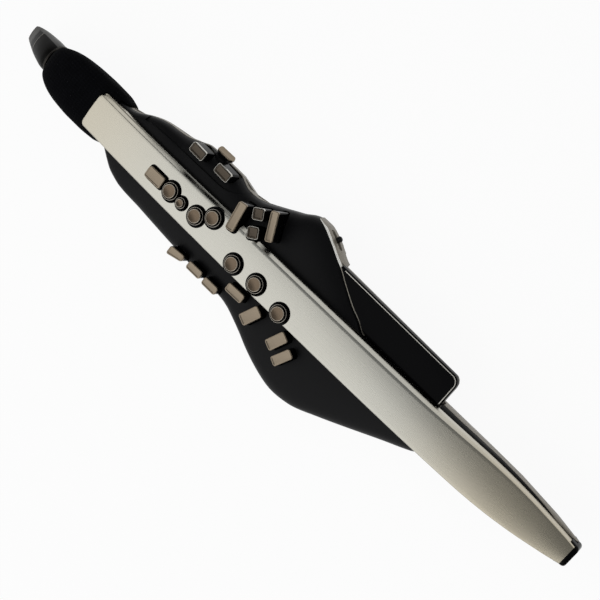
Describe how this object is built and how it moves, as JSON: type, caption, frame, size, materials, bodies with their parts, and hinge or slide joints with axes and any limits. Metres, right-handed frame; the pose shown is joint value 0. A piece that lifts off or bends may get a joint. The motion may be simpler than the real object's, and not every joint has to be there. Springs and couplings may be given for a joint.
{
  "type": "digital wind controller",
  "caption": "Long bowed wind controller with a silver front panel, black wings carrying round and bar keys, a side bay and a beak mouthpiece.",
  "frame": {"origin": "middle of the box in plan, on the surface that the instrument lies on", "axes": "+Y along the body from its foot to the mouthpiece, +Z out of the front panel, +X to the right when the front is seen with the mouthpiece up"},
  "size_m": [0.1198, 0.574, 0.072],
  "materials": {
    "silver_panel": "brushed along its length, warm silver",
    "satin_black": "satin",
    "gloss_black": "high gloss",
    "case_grey": "champagne grey satin paint",
    "soft_black": "soft matt sleeve",
    "chrome": "bright",
    "key_nickel": "warm nickel plating",
    "board_green": "solder mask",
    "rubber_grey": "matt",
    "steel": "brushed",
    "cell_blue": "plain sleeve",
    "dark_glass": "polished window",
    "clear_tube": "milky silicone",
    "beak_black": "polished",
    "beak_grey": "smoky grey"
  },
  "bodies": {
    "body": {"front_panel": "silver_panel", "front_case": "satin_black", "rear_case": "case_grey", "bay_lid": "gloss_black", "bay_trim": "chrome", "battery_cell_1": "cell_blue", "battery_cell_2": "cell_blue", "battery_cell_3": "cell_blue", "battery_cell_4": "cell_blue", "thumb_rest": "rubber_grey", "thumb_hook": "satin_black", "strap_ring": "steel", "display_window": "dark_glass", "phones_socket": "satin_black", "power_inlet": "satin_black", "usb_socket": "steel", "key_mat": "rubber_grey", "key_board": "board_green", "main_board": "board_green", "speaker": "satin_black", "head_cover": "soft_black", "breath_tube": "clear_tube", "breath_sensor": "satin_black", "foot_cap": "gloss_black"},
    "mouthpiece": {"mouthpiece": "beak_black", "mouthpiece_tip": "beak_grey", "reed": "beak_grey", "mouthpiece_ring": "chrome"},
    "battery_cover": {"battery_cover": "case_grey"},
    "thumb_lever": {"thumb_lever": "rubber_grey"},
    "slide_switch": {"slide_switch": "satin_black"},
    "key_left_index": {"key_left_index": "key_nickel"},
    "key_left_middle": {"key_left_middle": "key_nickel"},
    "key_left_ring": {"key_left_ring": "key_nickel"},
    "key_right_index": {"key_right_index": "key_nickel"},
    "key_right_middle": {"key_right_middle": "key_nickel"},
    "key_right_ring": {"key_right_ring": "key_nickel"},
    "key_bis": {"key_bis": "key_nickel"},
    "key_front_f": {"key_front_f": "key_nickel"},
    "key_g_sharp": {"key_g_sharp": "key_nickel"},
    "key_low_c_sharp": {"key_low_c_sharp": "key_nickel"},
    "key_low_b": {"key_low_b": "key_nickel"},
    "key_low_b_flat": {"key_low_b_flat": "key_nickel"},
    "key_fork_f_sharp": {"key_fork_f_sharp": "key_nickel"},
    "key_right_trill": {"key_right_trill": "key_nickel"},
    "key_e_flat": {"key_e_flat": "key_nickel"},
    "key_low_c": {"key_low_c": "key_nickel"},
    "key_side_upper": {"key_side_upper": "key_nickel"},
    "key_side_middle": {"key_side_middle": "key_nickel"},
    "key_side_lower": {"key_side_lower": "key_nickel"},
    "key_palm_upper": {"key_palm_upper": "key_nickel"},
    "key_palm_lower": {"key_palm_lower": "key_nickel"},
    "key_palm_outer": {"key_palm_outer": "key_nickel"},
    "octave_up_far": {"octave_up_far": "satin_black"},
    "octave_up_near": {"octave_up_near": "satin_black"},
    "octave_down_near": {"octave_down_near": "satin_black"},
    "octave_down_far": {"octave_down_far": "satin_black"},
    "button_menu": {"button_menu": "satin_black"},
    "button_enter": {"button_enter": "satin_black"}
  },
  "joints": [
    {"name": "left_index_press", "type": "slide", "parent": "body", "child": "key_left_index", "axis": [0, 0, -1], "range_m": [0, 0.0018], "stiffness_N_per_m": 150, "springref_m": -0.002},
    {"name": "left_middle_press", "type": "slide", "parent": "body", "child": "key_left_middle", "axis": [0, 0, -1], "range_m": [0, 0.0018], "stiffness_N_per_m": 150, "springref_m": -0.002},
    {"name": "left_ring_press", "type": "slide", "parent": "body", "child": "key_left_ring", "axis": [0, 0, -1], "range_m": [0, 0.0018], "stiffness_N_per_m": 150, "springref_m": -0.002},
    {"name": "right_index_press", "type": "slide", "parent": "body", "child": "key_right_index", "axis": [0, 0, -1], "range_m": [0, 0.0018], "stiffness_N_per_m": 150, "springref_m": -0.002},
    {"name": "right_middle_press", "type": "slide", "parent": "body", "child": "key_right_middle", "axis": [0, 0, -1], "range_m": [0, 0.0018], "stiffness_N_per_m": 150, "springref_m": -0.002},
    {"name": "right_ring_press", "type": "slide", "parent": "body", "child": "key_right_ring", "axis": [0, 0, -1], "range_m": [0, 0.0018], "stiffness_N_per_m": 150, "springref_m": -0.002},
    {"name": "bis_press", "type": "slide", "parent": "body", "child": "key_bis", "axis": [0, 0, -1], "range_m": [0, 0.0018], "stiffness_N_per_m": 150, "springref_m": -0.002},
    {"name": "front_f_press", "type": "slide", "parent": "body", "child": "key_front_f", "axis": [0, 0, -1], "range_m": [0, 0.0018], "stiffness_N_per_m": 150, "springref_m": -0.002},
    {"name": "g_sharp_press", "type": "slide", "parent": "body", "child": "key_g_sharp", "axis": [0, 0, -1], "range_m": [0, 0.0018], "stiffness_N_per_m": 150, "springref_m": -0.002},
    {"name": "low_c_sharp_press", "type": "slide", "parent": "body", "child": "key_low_c_sharp", "axis": [0, 0, -1], "range_m": [0, 0.0018], "stiffness_N_per_m": 150, "springref_m": -0.002},
    {"name": "low_b_press", "type": "slide", "parent": "body", "child": "key_low_b", "axis": [0, 0, -1], "range_m": [0, 0.0018], "stiffness_N_per_m": 150, "springref_m": -0.002},
    {"name": "low_b_flat_press", "type": "slide", "parent": "body", "child": "key_low_b_flat", "axis": [0, 0, -1], "range_m": [0, 0.0018], "stiffness_N_per_m": 150, "springref_m": -0.002},
    {"name": "fork_f_sharp_press", "type": "slide", "parent": "body", "child": "key_fork_f_sharp", "axis": [0, 0, -1], "range_m": [0, 0.0018], "stiffness_N_per_m": 150, "springref_m": -0.002},
    {"name": "right_trill_press", "type": "slide", "parent": "body", "child": "key_right_trill", "axis": [0, 0, -1], "range_m": [0, 0.0018], "stiffness_N_per_m": 150, "springref_m": -0.002},
    {"name": "e_flat_press", "type": "slide", "parent": "body", "child": "key_e_flat", "axis": [0, 0, -1], "range_m": [0, 0.0018], "stiffness_N_per_m": 150, "springref_m": -0.002},
    {"name": "low_c_press", "type": "slide", "parent": "body", "child": "key_low_c", "axis": [0, 0, -1], "range_m": [0, 0.0018], "stiffness_N_per_m": 150, "springref_m": -0.002},
    {"name": "side_upper_press", "type": "slide", "parent": "body", "child": "key_side_upper", "axis": [0, 0, -1], "range_m": [0, 0.0018], "stiffness_N_per_m": 150, "springref_m": -0.002},
    {"name": "side_middle_press", "type": "slide", "parent": "body", "child": "key_side_middle", "axis": [0, 0, -1], "range_m": [0, 0.0018], "stiffness_N_per_m": 150, "springref_m": -0.002},
    {"name": "side_lower_press", "type": "slide", "parent": "body", "child": "key_side_lower", "axis": [0, 0, -1], "range_m": [0, 0.0018], "stiffness_N_per_m": 150, "springref_m": -0.002},
    {"name": "palm_upper_press", "type": "slide", "parent": "body", "child": "key_palm_upper", "axis": [0, 0, -1], "range_m": [0, 0.0018], "stiffness_N_per_m": 150, "springref_m": -0.002},
    {"name": "palm_lower_press", "type": "slide", "parent": "body", "child": "key_palm_lower", "axis": [0, 0, -1], "range_m": [0, 0.0018], "stiffness_N_per_m": 150, "springref_m": -0.002},
    {"name": "palm_outer_press", "type": "slide", "parent": "body", "child": "key_palm_outer", "axis": [-0.788, 0, -0.6157], "range_m": [0, 0.0018], "stiffness_N_per_m": 150, "springref_m": -0.002},
    {"name": "octave_up_far_press", "type": "slide", "parent": "body", "child": "octave_up_far", "axis": [0, 0, 1], "range_m": [0, 0.0014], "stiffness_N_per_m": 150, "springref_m": -0.002},
    {"name": "octave_up_near_press", "type": "slide", "parent": "body", "child": "octave_up_near", "axis": [0, 0, 1], "range_m": [0, 0.0014], "stiffness_N_per_m": 150, "springref_m": -0.002},
    {"name": "octave_down_near_press", "type": "slide", "parent": "body", "child": "octave_down_near", "axis": [0, 0, 1], "range_m": [0, 0.0014], "stiffness_N_per_m": 150, "springref_m": -0.002},
    {"name": "octave_down_far_press", "type": "slide", "parent": "body", "child": "octave_down_far", "axis": [0, 0, 1], "range_m": [0, 0.0014], "stiffness_N_per_m": 150, "springref_m": -0.002},
    {"name": "button_menu_press", "type": "slide", "parent": "body", "child": "button_menu", "axis": [0.1944, 0, 0.9809], "range_m": [0, 0.0008], "stiffness_N_per_m": 200, "springref_m": -0.001},
    {"name": "button_enter_press", "type": "slide", "parent": "body", "child": "button_enter", "axis": [0.1012, 0, 0.9949], "range_m": [0, 0.0008], "stiffness_N_per_m": 200, "springref_m": -0.001},
    {"name": "thumb_lever_rock", "type": "hinge", "parent": "body", "child": "thumb_lever", "pos_m": [0.00466, 0.02009, 0.02861], "axis": [1, 0, 0], "range_deg": [-7, 7], "stiffness_Nm_per_rad": 0.05},
    {"name": "slide_switch_slide", "type": "slide", "parent": "body", "child": "slide_switch", "axis": [0.4115, 0.9114, 0], "range_m": [-0.0045, 0.0045]},
    {"name": "mouthpiece_pull", "type": "slide", "parent": "body", "child": "mouthpiece", "axis": [0, 1, 0], "range_m": [0, 0.032]},
    {"name": "battery_cover_lift", "type": "slide", "parent": "body", "child": "battery_cover", "axis": [0, 0, -1], "range_m": [0, 0.03]}
  ]
}
